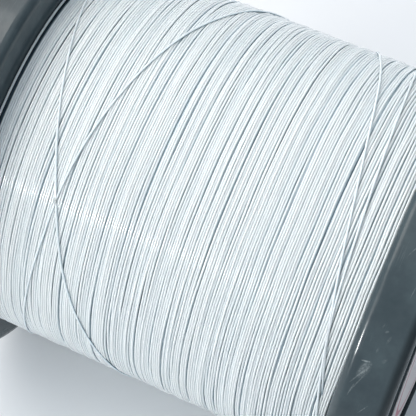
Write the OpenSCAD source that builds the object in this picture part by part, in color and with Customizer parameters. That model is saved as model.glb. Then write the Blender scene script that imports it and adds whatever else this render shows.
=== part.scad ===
// Delivery spool of fishing line: a barrel and a hub tube between two ribbed
// flange mouldings, each closed by a cover disc, and the line wound on the barrel.
// The spool lies on its two rims. Its axis is X, and the origin is the middle of
// the bore. Each piece is drawn along Z and laid down by along_axis().

/* [Spool] */
// Diameter of both flanges
flange_d = 100; // [96:1:130]
// Width over the lips of both flanges
overall_w = 100; // [60:1:160]
// Width of each flange across its rim
flange_w = 10.3; // [8:0.1:16]

/* [Flange moulding] */
// Thickness of the web beside the wound line
web_t = 2.6; // [2:0.1:3.6]
// Thickness of the rim wall
rim_t = 3; // [2.8:0.1:4.5]
// Radius of the rim's edge beside the wound line
inner_edge_r = 1.8; // [0.5:0.1:1.9]
// Radius of the rim's edge at the lip
outer_edge_r = 1.7; // [0.5:0.1:1.8]
// Number of ribs in each flange
ribs = 12; // [6:1:16]
// Thickness of each rib
rib_t = 1.6; // [1:0.1:2.5]
// Wall of the boss round the hub tube
boss_t = 2; // [1.5:0.1:4]
// Wall round the barrel's seat and round each peg
seat_t = 1.8; // [1.2:0.1:2.5]
// Diameter of the hole for the inner end of the line
start_hole_d = 2.4; // [1.5:0.1:3]

/* [Barrel] */
// Outer diameter of the barrel
barrel_d = 63; // [50:1:66]
// Wall of the barrel
barrel_t = 2.5; // [1.5:0.1:4]
// Depth of the barrel's end in each flange
barrel_seat = 3; // [1.5:0.1:3.5]
// Number of keys that stop the barrel turning
keys = 3; // [2:1:6]
// Width of each key
key_w = 5; // [3:0.5:8]

/* [Hub tube] */
// Diameter of the bore
bore_d = 16; // [8:0.5:20]
// Wall of the hub tube in the flanges
hub_t = 2.5; // [1.5:0.1:4]
// Height of the shoulder that each flange rests against
shoulder = 1.5; // [0.5:0.1:3]
// Chamfer at each end of the bore
bore_chamfer = 0.8; // [0.2:0.1:1.2]

/* [Cover] */
// Thickness of each cover disc
cover_t = 1.6; // [1:0.1:2.4]
// Depth of the cover's outer face below the lip
cover_set = 1.2; // [0.8:0.1:2]
// Diameter of the cover's raised middle
middle_d = 64; // [50:1:70]
// Depth of the raised middle below the lip
middle_set = 0.4; // [0.3:0.05:0.6]
// Width of the ledge under the cover's edge
ledge_w = 0.9; // [0.6:0.1:1]
// Shadow gap round the cover and round the hub tube in it
cover_gap = 0.25; // [0.1:0.05:0.4]
// Diameter of the circle that the pegs stand on
peg_circle_d = 80; // [76:1:82]
// Number of pegs on each cover
pegs = 4; // [2:1:6]
// Diameter of each peg
peg_d = 3; // [2:0.1:4]
// Length of each peg
peg_len = 3; // [1.5:0.1:3.5]

/* [Label] */
// Bare edge of the raised middle round the paper label
label_edge = 0.5; // [0.2:0.1:2]
// Diameter of the hole in the label
label_hole_d = 24; // [24:1:38]
// Thickness of the label
label_t = 0.15; // [0.1:0.05:0.2]

/* [Line] */
// Diameter over the wound line
winding_d = 83.5; // [72:0.5:90]
// Diameter of the line
line_d = 0.5; // [0.3:0.05:1.2]
// Turns in the open outermost layer
turns = 24; // [6:1:24]
// Gap between the wound line and each flange
line_gap = 0.1; // [0.05:0.05:0.5]

/* [Fits] */
// Clearance between faces that seat on each other
fit = 0.05; // [0.02:0.01:0.1]

/* [Hidden] */
$fn = 128;

plastic = [0.22, 0.26, 0.28];
paper = [0.78, 0.8, 0.82];
line_white = [0.88, 0.91, 0.92];
wound_white = [0.8, 0.84, 0.86];

traverse = overall_w - 2 * flange_w;
flange_r = flange_d / 2;
rim_in_r = flange_r - rim_t;
lip_in_r = rim_in_r + ledge_w;
hub_r = bore_d / 2 + hub_t;
hub_hole_r = hub_r + fit;
boss_r = hub_hole_r + boss_t;
barrel_r = barrel_d / 2;
barrel_in_r = barrel_r - barrel_t;
seat_depth = barrel_seat + fit;
cover_r = lip_in_r - cover_gap;
cover_face = flange_w - cover_set;
cover_back = cover_face - cover_t;
ledge = cover_back - fit;
middle_r = middle_d / 2;
middle_face = flange_w - middle_set;
middle_back = middle_face - cover_t;
boss_end = middle_back - fit;
label_back = middle_face + fit;
peg_r = peg_d / 2;
peg_hole_r = peg_r + fit;
peg_tip_gap = 0.5;
rib_step = 360 / ribs;
overcut = 1;

loop_rings = 24;
sides = 6;
line_r = line_d / 2;
lay_r = winding_d / 2 - line_r;
core_r = lay_r * cos(180 / loop_rings) - line_r - fit;
lay_start = 20;
lay_margin = line_gap + line_d;
lay_w = traverse - 2 * lay_margin;
last = turns * loop_rings;

// The line's ends turn down into two wells in the turns below, with a bend of
// two steps and a straight run of a little over one diameter.
bend = 0.85 * line_d;
end_run = 1.1 * line_d;
end_r = lay_r - bend - end_run;
well_r = end_r - fit;
well_w = line_d + 2 * 0.15;

function polar(r, a, z) = [r * cos(a), r * sin(a), z];
function lay_angle(i) = lay_start + 360 * i / loop_rings;
function lay_place(i) = lay_w * i / last - lay_w / 2;
function turn_point(i) = polar(lay_r, lay_angle(i), lay_place(i));
bend_step = bend / lay_r * loop_rings / (2 * PI);
function dive(i) = [
    for (r = [end_r, lay_r - bend]) polar(r, lay_angle(i), lay_place(i))
];
function turned(points) = [for (i = [len(points) - 1:-1:0]) points[i]];

route = concat(
    dive(0),
    [turn_point(bend_step)],
    [for (i = [1:last - 1]) turn_point(i)],
    [turn_point(last - bend_step)],
    turned(dive(last))
);
half_loop = loop_rings / 2;
least_gap = min([
    for (i = [0:len(route) - 1], j = [i + half_loop:1:len(route) - 1])
        norm(route[i] - route[j])
]) - line_d;
echo(str("line_top_turns: least gap to itself ", least_gap, " mm"));

function unit(v) = v / norm(v);
function heading(p, i) =
    i == 0 ? unit(p[1] - p[0])
    : i == len(p) - 1 ? unit(p[i] - p[i - 1])
    : unit(unit(p[i + 1] - p[i]) + unit(p[i] - p[i - 1]));
// A ring of the tube stands square to the route, or on the mitre of a bend.
function ring(p, i) =
    let (
        t = heading(p, i),
        into = i == 0 ? t : unit(p[i] - p[i - 1]),
        axial = unit([0, 0, 1] - t[2] * t),
        across = cross(t, axial) / (t * into)
    )
    [for (k = [0:sides - 1])
        p[i] + line_r * (cos(360 * k / sides) * axial + sin(360 * k / sides) * across)];

module swept_line(p) {
    n = len(p);
    polyhedron(
        points = [for (i = [0:n - 1]) each ring(p, i)],
        faces = concat(
            [for (k = [1:sides - 2]) [0, k, k + 1]],
            [for (i = [0:n - 2], k = [0:sides - 1])
                let (a = i * sides, b = a + sides, m = (k + 1) % sides)
                each [[a + k, b + k, b + m], [a + k, b + m, a + m]]],
            [for (k = [1:sides - 2]) let (a = (n - 1) * sides) [a, a + k + 1, a + k]]
        )
    );
}

module along_axis() rotate([0, 90, 0]) children();

// Stands a flange piece, drawn with the wound line below z = 0, at the right end.
module at_right() along_axis() translate([0, 0, traverse / 2]) children();
module at_left() mirror([1, 0, 0]) at_right() children();

module ring_profile(inner, outer, low, high)
    translate([inner, low]) square([outer - inner, high - low]);

module around(count, first = 0)
    for (k = [0:count - 1]) rotate(first + k * 360 / count) children();

// What a quarter round of radius r takes off a corner at the origin, where the
// solid lies towards -x and up is +1 above it or -1 below it.
module corner_waste(r, up) difference() {
    translate([-r, up > 0 ? 0 : -r]) square([r + overcut, r]);
    translate([-r, up * r]) circle(r);
}

module rim_profile() difference() {
    ring_profile(rim_in_r, flange_r, 0, flange_w);
    ring_profile(rim_in_r - overcut, lip_in_r, ledge, flange_w + overcut);
    translate([flange_r, 0]) corner_waste(inner_edge_r, 1);
    translate([flange_r, flange_w]) corner_waste(outer_edge_r, -1);
}

module web_profile() {
    ring_profile(hub_hole_r, rim_in_r, 0, web_t);
    ring_profile(hub_hole_r, boss_r, 0, boss_end);
    ring_profile(barrel_in_r - fit - seat_t, barrel_r + fit + seat_t, 0, seat_depth + seat_t);
}

module key_blocks(width) around(keys)
    translate([barrel_in_r - overcut, -width / 2, -overcut])
        cube([barrel_t + 2 * overcut, width, seat_depth + 2 * overcut]);

module barrel_groove() difference() {
    translate([0, 0, -overcut]) rotate_extrude()
        ring_profile(barrel_in_r - fit, barrel_r + fit, 0, seat_depth + overcut);
    key_blocks(key_w);
}

// The pegs stand midway between two ribs.
module at_pegs() around(pegs, rib_step / 2)
    translate([peg_circle_d / 2, 0, 0]) children();

module flange() color(plastic) difference() {
    union() {
        rotate_extrude() {
            rim_profile();
            web_profile();
        }
        around(ribs) translate([boss_r - boss_t / 2, -rib_t / 2, web_t / 2])
            cube([rim_in_r + ledge_w / 2 - boss_r + boss_t / 2, rib_t, ledge - web_t / 2]);
        at_pegs() cylinder(r = peg_hole_r + seat_t, h = ledge);
    }
    barrel_groove();
    at_pegs() translate([0, 0, ledge - peg_len - peg_tip_gap])
        cylinder(r = peg_hole_r, h = peg_len + peg_tip_gap + overcut, $fn = 48);
    rotate(-rib_step / 2)
        translate([barrel_r + fit + seat_t + start_hole_d, 0, -overcut])
            cylinder(d = start_hole_d, h = web_t + 2 * overcut, $fn = 48);
}

module cover() color(plastic) {
    rotate_extrude() {
        ring_profile(middle_r - cover_t, cover_r, cover_back, cover_face);
        ring_profile(middle_r - cover_t, middle_r, cover_back, middle_face);
        ring_profile(hub_r + cover_gap, middle_r, middle_back, middle_face);
    }
    at_pegs() translate([0, 0, cover_back - peg_len])
        cylinder(r = peg_r, h = peg_len + cover_t / 2, $fn = 48);
}

module label() color(paper) rotate_extrude()
    ring_profile(label_hole_d / 2, middle_r - label_edge, label_back, label_back + label_t);

module flange_left() at_left() flange();
module flange_right() at_right() flange();
module cover_left() at_left() cover();
module cover_right() at_right() cover();
module label_right() at_right() label();

module barrel_tube() color(plastic) along_axis() difference() {
    rotate_extrude() ring_profile(barrel_in_r, barrel_r,
        -traverse / 2 - barrel_seat, traverse / 2 + barrel_seat);
    for (end = [0, 1]) mirror([0, 0, end])
        translate([0, 0, traverse / 2 + overcut - fit]) key_blocks(key_w + 2 * fit);
}

module hub_tube() color(plastic) along_axis() difference() {
    union() {
        cylinder(r = hub_r, h = overall_w, center = true);
        cylinder(r = hub_r + shoulder, h = traverse - 2 * fit, center = true);
    }
    cylinder(d = bore_d, h = overall_w + 2 * overcut, center = true);
    for (end = [0, 1]) mirror([0, 0, end]) translate([0, 0, overall_w / 2 - bore_chamfer])
        cylinder(d1 = bore_d, d2 = bore_d + 2 * bore_chamfer + 2 * overcut,
            h = bore_chamfer + overcut);
}

module line_core() color(wound_white) along_axis() difference() {
    rotate_extrude() ring_profile(barrel_r + fit, core_r,
        line_gap - traverse / 2, traverse / 2 - line_gap);
    for (i = [0, last]) rotate(lay_angle(i))
        translate([well_r, -well_w / 2, lay_place(i) - well_w / 2])
            cube([overcut, well_w, well_w]);
}

module line_top_turns() color(line_white) along_axis() swept_line(route);

flange_left();
flange_right();
barrel_tube();
hub_tube();
cover_left();
cover_right();
label_right();
line_core();
line_top_turns();
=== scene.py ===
import bpy
import math
import numpy as np
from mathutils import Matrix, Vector


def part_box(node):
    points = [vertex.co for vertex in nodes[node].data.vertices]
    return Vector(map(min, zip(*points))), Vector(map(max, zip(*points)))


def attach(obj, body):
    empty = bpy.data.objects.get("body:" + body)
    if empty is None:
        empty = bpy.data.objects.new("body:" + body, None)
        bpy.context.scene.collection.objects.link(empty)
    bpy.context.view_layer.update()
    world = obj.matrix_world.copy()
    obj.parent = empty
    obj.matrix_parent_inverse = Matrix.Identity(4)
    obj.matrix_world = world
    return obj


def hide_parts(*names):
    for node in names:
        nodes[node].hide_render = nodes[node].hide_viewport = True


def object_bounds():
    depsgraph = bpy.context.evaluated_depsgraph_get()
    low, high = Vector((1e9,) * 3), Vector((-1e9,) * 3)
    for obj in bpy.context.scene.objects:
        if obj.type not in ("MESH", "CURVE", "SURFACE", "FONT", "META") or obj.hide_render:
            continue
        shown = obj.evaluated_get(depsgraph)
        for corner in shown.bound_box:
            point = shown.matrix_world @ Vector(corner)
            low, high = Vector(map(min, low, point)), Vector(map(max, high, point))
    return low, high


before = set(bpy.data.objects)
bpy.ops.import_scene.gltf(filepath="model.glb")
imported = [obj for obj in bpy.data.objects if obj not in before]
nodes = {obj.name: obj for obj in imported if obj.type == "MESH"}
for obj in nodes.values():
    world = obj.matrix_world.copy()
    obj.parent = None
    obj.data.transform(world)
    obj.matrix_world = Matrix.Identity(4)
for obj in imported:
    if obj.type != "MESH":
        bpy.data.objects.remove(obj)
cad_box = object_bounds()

# ---------------------------------------------------------------------------
# The two flanges: slate blue-grey mouldings, each one piece with its rim, web,
# ribs and bosses. The rims carry fine rub marks that run round them, and a few
# nicks from the shelf.
# ---------------------------------------------------------------------------
mm = 0.001
end_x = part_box("flange_right")[1].x
rim_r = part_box("flange_right")[1].z
slate = (0.043, 0.060, 0.068, 1)
slate_pale = (0.056, 0.078, 0.086, 1)
slate_deep = (0.034, 0.050, 0.057, 1)
rub_grey = (0.16, 0.19, 0.195, 1)
speck_grey = (0.09, 0.11, 0.115, 1)
scuff_white = (0.42, 0.46, 0.46, 1)
black = (0, 0, 0, 1)
# Grey that darkens the rounded outer edges of the flanges: painted shade.
edge_shade_grey = (0.5, 0.5, 0.5, 1)
white = (1, 1, 1, 1)


def new_material(name, **sockets):
    """A material with its own shader, whose uniform sockets are set here."""
    material = bpy.data.materials.new(name)
    material.use_nodes = True
    shader = material.node_tree.nodes["Principled BSDF"]
    for socket, value in sockets.items():
        shader.inputs[socket.replace("_", " ").title().replace("Ior", "IOR")].default_value = value
    return material, shader


def fill(material, socket, value):
    """Gives a socket its value, or links it to the output of another node."""
    if isinstance(value, bpy.types.NodeSocket):
        material.node_tree.links.new(value, socket)
    else:
        socket.default_value = value


def add(material, kind, inputs=None, **settings):
    """Adds a node, sets it up, and links or fills the inputs that are given."""
    node = material.node_tree.nodes.new("ShaderNode" + kind)
    for name, value in settings.items():
        setattr(node, name, value)
    for socket, value in (inputs or {}).items():
        fill(material, node.inputs[socket], value)
    return node


def maths(material, operation, a, b=0.0, c=0.0):
    """One step of arithmetic."""
    return add(material, "Math", {0: a, 1: b, 2: c}, operation=operation).outputs[0]


def weighted(material, a, b, share):
    """Two values added together, with share as the second one's part in the sum."""
    return maths(material, "ADD", maths(material, "MULTIPLY", a, 1 - share),
                 maths(material, "MULTIPLY", b, share))


def ranged(material, value, low, high, start=0.0, end=1.0):
    """Runs from low to high while the value runs from start to end."""
    node = add(material, "MapRange", {"Value": value, "From Min": start, "From Max": end,
                                      "To Min": low, "To Max": high})
    return node.outputs[0]


def ramp(material, value, stops):
    """A colour ramp, whose stops are (position, colour) pairs."""
    node = add(material, "ValToRGB", {"Fac": value})
    elements = node.color_ramp.elements
    while len(elements) < len(stops):
        elements.new(0.5)
    for element, (place, colour) in zip(elements, stops):
        element.position = place
        element.color = colour
    return node.outputs["Color"]


def mix(material, factor, a, b, blend="MIX"):
    """Two colours, blended by the factor."""
    node = add(material, "Mix", data_type="RGBA", blend_type=blend)
    for name, value in (("Factor", factor), ("A", a), ("B", b)):
        socket = [i for i in node.inputs if i.name == name and i.enabled][0]
        fill(material, socket, value)
    return [o for o in node.outputs if o.enabled][0]


def round_the_axis(material):
    """Place in space and along the axis, angle round it (seam underneath) and radius."""
    coords = add(material, "TexCoord").outputs["Object"]
    part = add(material, "SeparateXYZ", {0: coords})
    x, y, z = (part.outputs[i] for i in range(3))
    squares = maths(material, "ADD", maths(material, "MULTIPLY", y, y),
                    maths(material, "MULTIPLY", z, z))
    radius = maths(material, "SQRT", squares)
    angle = maths(material, "ARCTAN2", y, z)
    return coords, x, angle, radius


def noise(material, vector, scale, detail=3.0, roughness=0.5):
    """Cloudy noise between 0 and 1. A larger scale makes smaller clouds."""
    node = add(material, "TexNoise", {"Vector": vector, "Scale": scale, "Detail": detail,
                                      "Roughness": roughness})
    return node.outputs["Fac"]


def bump(material, shader, height, strength, distance):
    """Relief of the given height over the whole surface."""
    relief = add(material, "Bump", {"Height": height, "Strength": strength, "Distance": distance})
    fill(material, shader.inputs["Normal"], relief.outputs[0])


def mark(material, spread_out, place, turned, size):
    """An oval patch on a rim. place is (mm along the axis, degrees from the top)."""
    x, degrees = place
    length, width = size
    oval = add(material, "Mapping", {
        "Vector": spread_out,
        "Location": (x * mm, math.radians(degrees) * rim_r, 0),
        "Rotation": (0, 0, math.radians(turned)),
        "Scale": (length / 2 * mm, width / 2 * mm, 1),
    }, vector_type="TEXTURE")
    reach = add(material, "VectorMath", {0: oval.outputs[0]}, operation="LENGTH").outputs["Value"]
    return ramp(material, reach, [(0.35, white), (1.0, black)])


def moulded_plastic(name, roughness, rub, marks=()):
    """Moulded slate plastic. rub is how strongly the rub marks show."""
    material, shader = new_material(name, specular_ior_level=0.35)
    coords, x, angle, radius = round_the_axis(material)
    cloud = noise(material, coords, scale=160, detail=4, roughness=0.6)
    colour = ramp(material, cloud, [(0.3, slate_deep), (0.5, slate), (0.72, slate_pale)])

    # The rub marks are long round the axis and fine across it, and come in patches.
    slow_angle = maths(material, "MULTIPLY", angle, 0.0012)
    round_way = add(material, "CombineXYZ", {0: x, 1: slow_angle, 2: radius}).outputs[0]
    streaks = noise(material, round_way, scale=5200, detail=4, roughness=0.65)
    streak_mask = ramp(material, streaks, [(0.56, black), (0.72, white)])
    patches = ramp(material, noise(material, coords, scale=90), [(0.5, black), (0.66, white)])
    rubbed = maths(material, "MULTIPLY", maths(material, "MULTIPLY", streak_mask, patches), rub)
    colour = mix(material, rubbed, colour, rub_grey)

    # The marks lie on the rim as if it were spread out flat, and are worn through in places.
    along_rim = maths(material, "MULTIPLY", angle, rim_r)
    spread_out = add(material, "CombineXYZ", {0: x, 1: along_rim}).outputs[0]
    wear = noise(material, coords, scale=3200, detail=4, roughness=0.7)
    broken = ramp(material, wear, [(0.38, (0.2, 0.2, 0.2, 1)), (0.62, white)])
    for place, turned, size, strength in marks:
        scuffed = maths(material, "MULTIPLY", mark(material, spread_out, place, turned, size), broken)
        scuffed = maths(material, "MULTIPLY", scuffed, strength)
        colour = mix(material, scuffed, colour, scuff_white)

    # Dust specks.
    specks = add(material, "TexVoronoi", {"Vector": coords, "Scale": 420.0, "Randomness": 1.0})
    speck = ramp(material, specks.outputs["Distance"], [(0.05, white), (0.09, black)])
    lot = add(material, "SeparateColor", {0: specks.outputs["Color"]}).outputs[0]
    rare = maths(material, "GREATER_THAN", lot, 0.975)
    colour = mix(material, maths(material, "MULTIPLY", speck, rare), colour, speck_grey)

    # The rounded outer edge is painted darker: painted shade, where the edge turns away from the lamps.
    to_end = maths(material, "SUBTRACT", end_x, maths(material, "ABSOLUTE", x))
    painted_edge_shade = ramp(material, maths(material, "DIVIDE", to_end, 2.5 * mm),
                [(0.08, white), (0.2, edge_shade_grey), (0.5, edge_shade_grey), (0.85, white)])
    colour = mix(material, 1.0, colour, painted_edge_shade, "MULTIPLY")
    fill(material, shader.inputs["Base Color"], colour)

    haze = noise(material, coords, scale=420, detail=5, roughness=0.65)
    rough = ranged(material, haze, roughness - 0.05, roughness + 0.09, start=0.3, end=0.7)
    fill(material, shader.inputs["Roughness"], rough)
    grain = noise(material, coords, scale=2600, detail=4, roughness=0.6)
    bump(material, shader, weighted(material, grain, streaks, 0.5), 0.12, 0.05 * mm)
    return material


def paint(node, material):
    node.data.materials.clear()
    node.data.materials.append(material)


# Each mark: place, the way it is turned, length and width in mm, strength.
rim_marks = [
    ((43.2, -47.1), 10, (1.9, 0.4), 0.7), ((43.4, -49.0), 75, (4.6, 2.2), 0.24),
    ((43.0, -48.6), 70, (3.6, 0.6), 0.22), ((43.7, -48.9), 66, (3.8, 0.5), 0.22),
    ((42.7, -50.8), 62, (4.6, 0.35), 0.28), ((43.1, -52.2), 70, (5.0, 0.3), 0.22),
    ((44.4, -44.0), 80, (1.2, 0.5), 0.14), ((45.6, -41.2), 75, (1.8, 0.6), 0.12),
    ((46.2, -45.6), 60, (1.6, 0.8), 0.1), ((42.4, -54.2), 80, (3.2, 0.35), 0.3),
    ((44.8, -39.8), 40, (0.9, 0.5), 0.2), ((43.9, -38.9), 75, (1.3, 0.4), 0.1),
    ((45.6, -57.5), 60, (3.0, 0.2), 0.3), ((46.4, -30.5), 85, (2.6, 0.2), 0.25),
    ((44.1, -22), 65, (5.0, 0.25), 0.25), ((-44.0, -12), 80, (4.0, 0.25), 0.3),
]
rim_plastic = moulded_plastic("slate_rim_plastic", roughness=0.18, rub=0.5, marks=rim_marks)
for side in ("left", "right"):
    paint(nodes["flange_" + side], rim_plastic)

# ---------------------------------------------------------------------------
# The barrel and the hub tube: straight extruded tubes in the same plastic, cut
# to length. The barrel seats in a groove in each flange and the hub tube holds
# both flanges apart on its shoulders.
# ---------------------------------------------------------------------------
tube_plastic = moulded_plastic("slate_tube_plastic", roughness=0.5, rub=0.25)
for name in ("barrel_tube", "hub_tube"):
    paint(nodes[name], tube_plastic)

# ---------------------------------------------------------------------------
# The covers: flat discs pressed into the ends of the flanges on four pegs. Their
# faces have the faint rings of a turned mould.
# ---------------------------------------------------------------------------
def cover_plastic():
    material, shader = new_material("slate_cover_plastic", specular_ior_level=0.35)
    coords, _, angle, radius = round_the_axis(material)
    cloud = noise(material, coords, scale=120, detail=4, roughness=0.6)
    fill(material, shader.inputs["Base Color"],
         ramp(material, cloud, [(0.3, slate_deep), (0.7, slate)]))
    slow_angle = maths(material, "MULTIPLY", angle, 0.0004)
    ring_way = add(material, "CombineXYZ", {0: slow_angle, 2: radius}).outputs[0]
    rings = noise(material, ring_way, scale=2400, roughness=0.6)
    grain = noise(material, coords, scale=3000, roughness=0.6)
    rough = ranged(material, grain, 0.46, 0.6, start=0.3, end=0.7)
    fill(material, shader.inputs["Roughness"], rough)
    bump(material, shader, weighted(material, rings, grain, 0.3), 0.12, 0.05 * mm)
    return material


face_plastic = cover_plastic()
for side in ("left", "right"):
    paint(nodes["cover_" + side], face_plastic)

# ---------------------------------------------------------------------------
# The label: a ring of uncoated paper glued on the raised middle of the right
# cover, printed with one thin pink line inside its edge. The rest is bare.
# ---------------------------------------------------------------------------
border_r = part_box("label_right")[1].z - 5 * mm
border_w = 1.6 * mm
paper_white = (0.66, 0.62, 0.62, 1)
border_pink = (0.52, 0.26, 0.30, 1)


def printed_paper():
    material, shader = new_material("printed_paper", specular_ior_level=0.25)
    coords, _, _, radius = round_the_axis(material)
    printed_here = maths(material, "COMPARE", radius, border_r, border_w / 2)
    printed = mix(material, printed_here, paper_white, border_pink)
    fibres = noise(material, coords, scale=1500, detail=6, roughness=0.7)
    tint = ramp(material, fibres, [(0.35, (0.9, 0.9, 0.9, 1)), (0.6, white)])
    fill(material, shader.inputs["Base Color"], mix(material, 1.0, printed, tint, "MULTIPLY"))
    fill(material, shader.inputs["Roughness"], ranged(material, fibres, 0.7, 0.85))
    bump(material, shader, fibres, 0.25, 0.03 * mm)
    return material


paint(nodes["label_right"], printed_paper())

# ---------------------------------------------------------------------------
# The wound line under the outermost layer: white monofilament of 0.5 mm, laid on
# the barrel layer on layer, each with the opposite lay. The two layers that show
# through the gaps are laid turn by turn, and a ring stands for the rest.
# ---------------------------------------------------------------------------
line_d = 0.5 * mm
turns = 151
steps = 80  # points in one turn
pressed = 0.905  # distance between touching turns, as a share of the line's diameter
layer_step = 0.42 * mm  # each layer sinks a little between the turns of the next
winding_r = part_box("line_top_turns")[1].z
traverse = 2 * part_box("flange_right")[0].x
top_lay_r = winding_r - line_d / 2
under_unevenness = 0.06 * mm
under_margin = 0.8 * mm
under_wander = 0.25 * mm

rng = np.random.default_rng(7)


def drift(count, spacing):
    """Smooth values between -1 and 1 along the line, new every spacing steps."""
    knots = rng.uniform(-1, 1, int(count / spacing) + 3)
    place = np.arange(count) / spacing
    knot = place.astype(int)
    share = place - knot
    share = share * share * (3 - 2 * share)
    return knots[knot] * (1 - share) + knots[knot + 1] * share


def settle(wanted):
    """Turns that want the same place push each other aside and touch."""
    groups = []
    for place in wanted:
        groups.append((place, 1))
        while len(groups) > 1 and groups[-2][0] > groups[-1][0]:
            (place_1, count_1), (place_2, count_2) = groups[-2:]
            count = count_1 + count_2
            groups[-2:] = [((place_1 * count_1 + place_2 * count_2) / count, count)]
    return np.repeat([place for place, _ in groups], [count for _, count in groups])


def heights_of(turn_count, unevenness):
    """How far each turn stands above or below its layer, along its length."""
    count = turn_count * steps
    height = unevenness * (drift(count, steps * 0.17) + 0.25 * drift(count, steps * 0.05))
    return height.reshape(turn_count, steps)


def lay_of(heights, margin, wander, room_shares=((0, 1), (0, 1))):
    """Places along the axis of a layer's turns, laid side by side.

    The room that touching turns leave is spread along the layer by room_shares:
    shares of the layer, and of the room that is used up by there.
    """
    turn_count = len(heights)
    count = turn_count * steps
    apart = pressed * np.sqrt(line_d ** 2 - np.diff(heights, axis=0) ** 2)
    touching = np.vstack([np.zeros(steps), np.cumsum(apart, axis=0)])
    low = margin - traverse / 2
    room = traverse - 2 * margin - touching[-1].max() - line_d
    loose = drift(count, steps * 0.2)
    stray = loose * np.abs(loose) + 0.3 * drift(count, steps * 0.04)
    wanted = low + room * np.interp(np.arange(count) / count, *room_shares) + wander * stray
    table = wanted.reshape(turn_count, steps)
    for step in range(steps):
        settled = np.clip(settle(table[:, step]), low, low + room)
        table[:, step] = settled + line_d * step / steps
    return (table + touching).ravel()


def angles_of(places, start=0.0):
    """The angle round the axis of each point of a layer."""
    return np.arange(len(places)) / steps * 2 * math.pi + start


def pick(piece):
    """Selects one piece alone and makes it the active one."""
    bpy.ops.object.select_all(action="DESELECT")
    piece.select_set(True)
    bpy.context.view_layer.objects.active = piece


def laid_line(name, angles, places, radii, sides):
    """A tube along the points at these angles, places and radii round the axis."""
    curve = bpy.data.curves.new(name, "CURVE")
    curve.dimensions = "3D"
    spline = curve.splines.new("POLY")
    spline.points.add(len(angles) - 1)
    ones = np.ones(len(angles))
    points = np.stack([places, -radii * np.cos(angles), radii * np.sin(angles), ones], axis=1)
    spline.points.foreach_set("co", points.ravel())
    spline.points.foreach_set("radius", ones)
    spline.use_smooth = True
    curve.bevel_depth = line_d / 2
    curve.bevel_resolution = (sides - 4) // 2
    curve.use_fill_caps = True
    piece = bpy.data.objects.new(name, curve)
    bpy.context.scene.collection.objects.link(piece)
    pick(piece)
    bpy.ops.object.convert(target="MESH")
    return bpy.context.view_layer.objects.active


def monofilament(name, depth_shade_stops):
    """White line, a little translucent. The stops give its colour by its depth in the winding: the
    deeper line is painted darker and bluer, a painted shade of the gaps and the layers below.
    """
    material, shader = new_material(name, ior=1.5, subsurface_weight=0.85,
                                    subsurface_scale=0.7 * mm)
    shader.inputs["Subsurface Radius"].default_value = (1, 1, 1)
    coords, x, _, radius = round_the_axis(material)
    # Painted shade: the colour darkens with depth below the top of the winding.
    depth = maths(material, "SUBTRACT", winding_r + line_d, radius)
    colour = ramp(material, maths(material, "DIVIDE", depth, 2.4 * mm), depth_shade_stops)
    uv = add(material, "TexCoord").outputs["UV"]
    along = add(material, "Mapping", {"Vector": uv, "Scale": (300, 0, 0)}).outputs[0]
    tint = ramp(material, noise(material, along, scale=1, detail=2),
                [(0.3, (0.93, 0.95, 0.96, 1)), (0.7, white)])
    fill(material, shader.inputs["Base Color"], mix(material, 1.0, colour, tint, "MULTIPLY"))
    haze = ranged(material, noise(material, coords, scale=900, roughness=0.6), 0.07, 0.13)
    # The line was handled more towards the right end, and is duller there.
    duller = ranged(material, x, 0.0, 0.09, start=-20 * mm, end=25 * mm)
    fill(material, shader.inputs["Roughness"], maths(material, "ADD", haze, duller))
    shine = ranged(material, x, 0.5, 0.2, start=-25 * mm, end=15 * mm)
    fill(material, shader.inputs["Specular IOR Level"], shine)
    return material


# Painted shade: the deeper stops are darker and bluer, for the gaps between turns and the layers below.
line_white = monofilament("white_monofilament", [
    (0.2, (0.872, 0.912, 0.903, 1)), (0.33, (0.808, 0.872, 0.885, 1)),
    (0.43, (0.42, 0.52, 0.58, 1)), (0.7, (0.09, 0.135, 0.17, 1)),
])


def finish_line(piece, material=line_white):
    pick(piece)
    bpy.ops.object.shade_smooth()
    paint(piece, material)
    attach(piece, "root")


under_turns = []
for layer, direction in ((1, -1), (2, 1)):
    heights = heights_of(turns, under_unevenness)
    places = lay_of(heights, under_margin, under_wander) * direction
    angles = angles_of(places, start=layer)
    radii = top_lay_r - layer * layer_step + heights.ravel()
    piece = laid_line(f"under_turns_{layer}", angles, places, radii, sides=6)
    finish_line(piece)
    under_turns.append(piece)

# The turns below those: a ring on the barrel, opened from end to end by bridging
# its two inset end faces, with the edges of its ends rounded.
drum_r = top_lay_r - 2.6 * layer_step
drum_gap = 0.1 * mm
drum_edge_r = 0.4 * mm
barrel_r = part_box("barrel_tube")[1].z


def select_end_faces(piece, least_area=0.0):
    """In edit mode, selects the flat faces at both ends that are larger than least_area."""
    bpy.ops.mesh.select_all(action="DESELECT")
    bpy.ops.object.mode_set(mode="OBJECT")
    for face in piece.data.polygons:
        face.select = abs(face.normal.x) > 0.9 and face.area > least_area
    bpy.ops.object.mode_set(mode="EDIT")


bpy.ops.object.select_all(action="DESELECT")
bpy.ops.mesh.primitive_cylinder_add(vertices=144, radius=drum_r, depth=traverse - 2 * drum_gap,
                                    rotation=(0, math.pi / 2, 0))
wound_drum = bpy.context.active_object
wound_drum.name = "inner_turns"
bpy.ops.object.transform_apply(location=True, rotation=True, scale=True)
bpy.ops.object.mode_set(mode="EDIT")
bpy.context.tool_settings.mesh_select_mode = (False, False, True)
select_end_faces(wound_drum)
bpy.ops.mesh.bevel(offset=drum_edge_r, segments=3, affect="EDGES")
select_end_faces(wound_drum, least_area=barrel_r ** 2)
bpy.ops.mesh.inset(thickness=drum_r - drum_edge_r - barrel_r)
bpy.ops.mesh.bridge_edge_loops()
bpy.ops.mesh.normals_make_consistent(inside=False)
bpy.ops.object.mode_set(mode="OBJECT")
finish_line(wound_drum)
under_turns.append(wound_drum)
for piece in under_turns:
    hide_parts("line_core")

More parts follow.
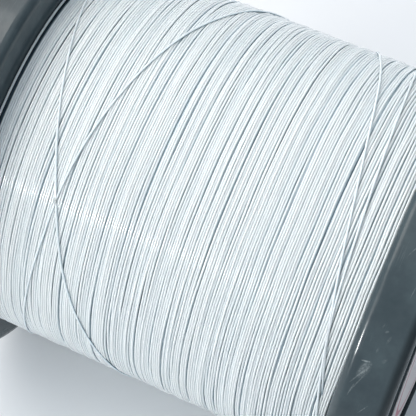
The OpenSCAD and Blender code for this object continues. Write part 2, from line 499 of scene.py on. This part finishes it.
# ---------------------------------------------------------------------------
# The outermost layer: the same line, wound a little unevenly under tension. Most
# turns touch, some ride up on their neighbours, and gaps show the layer below.
# The first turn lies by itself against the left flange.
# ---------------------------------------------------------------------------
top_unevenness = 0.13 * mm
top_margin = 0.2 * mm
top_wander = 0.37 * mm
top_sunk = 0.05 * mm
top_room_shares = ((0, 0.006, 0.008, 0.84, 1), (0, 0, 0.06, 0.75, 1))
heights = heights_of(turns, top_unevenness)
places = lay_of(heights, top_margin, top_wander, top_room_shares)
radii = top_lay_r - top_sunk + heights.ravel()
top_turns = laid_line("top_turns", angles_of(places), places, radii, sides=8)
finish_line(top_turns)
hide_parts("line_top_turns")

# ---------------------------------------------------------------------------
# The tail of the line: it runs slantwise over the turns a few times, round the
# back and over itself, and is tucked in under them. A shorter turn crosses them
# near its start.
# ---------------------------------------------------------------------------
ride_r = winding_r + line_d / 2 - 0.23 * mm
tuck_depth = 1.2 * line_d
tuck_steps = 6
second_rise = 0.02 * mm
route_scale = 0.994
# Each route's points: degrees round the axis, and millimetres along it.
tail_route = [
    (17, 38.21), (30.5, 36.11), (45.5, 34.01), (72.5, 30.31), (93.5, 27.16), (117.5, 23.26),
    (131, 20.61), (180, 12.5), (240, 5.0), (300, -1.5), (356.5, -9.46), (364.5, -11.94),
    (383.5, -17.44), (405.5, -22.9), (433.5, -30.04), (456.5, -34.87), (490, -38.6), (540, -39.2),
    (590, -38.2), (640, -34.5), (690, -29.3), (722, -26.64), (735.5, -25.34), (759.5, -23.24),
    (765.5, -22.9), (786.5, -20.84), (804.5, -17.99), (824, -14.04), (842, -9.59), (849.5, -7.99),
    (880, 0), (930, 12),
]
second_route = [
    (-10, 38.9), (17, 37.16), (32, 35.56), (45.5, 34.26), (66.5, 32.96), (90.5, 31.36),
    (113, 29.81), (150, 27),
]


def smooth_route(route, step=3.0):
    """The angles and places of a smooth curve through the points of a route."""
    degrees = np.array([point[0] for point in route], float)
    along = np.array([point[1] for point in route], float) * route_scale
    slope = np.gradient(along, degrees)
    wanted = np.arange(degrees[0], degrees[-1] + 0.01, step)
    last = np.clip(np.searchsorted(degrees, wanted, side="right") - 1, 0, len(degrees) - 2)
    span = degrees[last + 1] - degrees[last]
    s = (wanted - degrees[last]) / span
    smooth = ((2 * s**3 - 3 * s**2 + 1) * along[last] + (s**3 - 2 * s**2 + s) * span * slope[last]
              + (3 * s**2 - 2 * s**3) * along[last + 1] + (s**3 - s**2) * span * slope[last + 1])
    return np.radians(wanted), smooth * mm


# The tail's own stops turn dark sooner with depth: painted shade along both flanks, where it lies on
# the others.
tail_white = monofilament("white_monofilament_tail", [
    (0.1, (0.82, 0.885, 0.91, 1)), (0.165, (0.74, 0.82, 0.85, 1)),
    (0.205, (0.36, 0.45, 0.50, 1)), (0.25, (0.15, 0.21, 0.25, 1)),
])
for name, route, rise in (("line_tail", tail_route, 0.0), ("crossing_turn", second_route, second_rise)):
    angles, places = smooth_route(route)
    points = np.arange(len(angles))
    to_tip = np.minimum(points, points[::-1]) / tuck_steps
    radii = ride_r + rise - tuck_depth * np.clip(1 - to_tip, 0, 1) ** 2
    finish_line(laid_line(name, angles, places, radii, sides=8), tail_white)

# ---------------------------------------------------------------------------
# The pale floor, the lights and the camera: a soft room, brighter on the left,
# with wide lamps above and behind and low ones on the left in front.
# ---------------------------------------------------------------------------
floor_size = 6
floor_white = (0.825, 0.828, 0.84, 1)
floor_z = cad_box[0].z
bpy.ops.object.select_all(action="DESELECT")
bpy.ops.mesh.primitive_plane_add(size=floor_size, location=(0, 0, floor_z))
floor = bpy.context.active_object
floor.name = "floor"
pale, pale_shader = new_material("pale_floor", roughness=0.6, specular_ior_level=0.2)
pale_shader.inputs["Base Color"].default_value = floor_white
paint(floor, pale)

room_blue = (0.75, 0.87, 0.98, 1)
left_strength = 1.06
right_strength = 0.36
world = bpy.data.worlds.new("soft_room")
bpy.context.scene.world = world
world.use_nodes = True
background = world.node_tree.nodes["Background"]
background.inputs["Color"].default_value = room_blue
way = add(world, "TexCoord").outputs["Generated"]
across = add(world, "SeparateXYZ", {0: way}).outputs["X"]
fill(world, background.inputs["Strength"],
     ranged(world, across, left_strength, right_strength, start=-1.0))

daylight = (1, 1, 1)
warm = (1, 0.955, 0.9)
lamplight = (1, 0.87, 0.8)


def softbox(name, towards, distance, size, watts, colour):
    """A flat lamp of the given size that shines on the spool from one direction."""
    lamp = bpy.data.lights.new(name, "AREA")
    lamp.shape = "RECTANGLE"
    lamp.size, lamp.size_y = size
    lamp.energy = watts
    lamp.color = colour
    place = Vector(towards).normalized() * distance
    holder = bpy.data.objects.new(name, lamp)
    holder.location = place
    holder.rotation_euler = (-place).to_track_quat("-Z", "Y").to_euler()
    bpy.context.scene.collection.objects.link(holder)
    return holder


key = softbox("key_light", (-0.6, -0.72, 0.3), 0.9, (0.3, 0.3), 1.9, warm)
key.visible_glossy = False
softbox("window_light", (-0.5, -0.6, 0.62), 0.9, (0.4, 0.4), 0.9, warm)
softbox("left_light", (-0.55, -0.08, 0.8), 0.55, (0.35, 0.3), 1.15, warm)
softbox("top_light", (-0.1, 0.15, 1.0), 1.2, (1.2, 1.2), 2.3, warm)
softbox("back_light", (-0.4, 0.48, 0.78), 1.2, (0.8, 0.8), 2.85, lamplight)
# A small bare bulb, seen only as the glint along the line and the rims.
glint = softbox("glint_light", (-0.52, -0.775, 0.36), 0.88, (0.06, 0.06), 4.8, daylight)
glint.visible_diffuse = False

camera_data = bpy.data.cameras.new("camera")
camera_data.lens = 117.7
camera_data.sensor_width = 36
camera = bpy.data.objects.new("camera", camera_data)
camera.location = (0.0608, -0.1368, 0.2505)
camera.rotation_euler = (math.radians(30.77), 0, math.radians(25.60))
bpy.context.scene.collection.objects.link(camera)
bpy.context.scene.camera = camera
bpy.context.scene.view_settings.view_transform = "Standard"
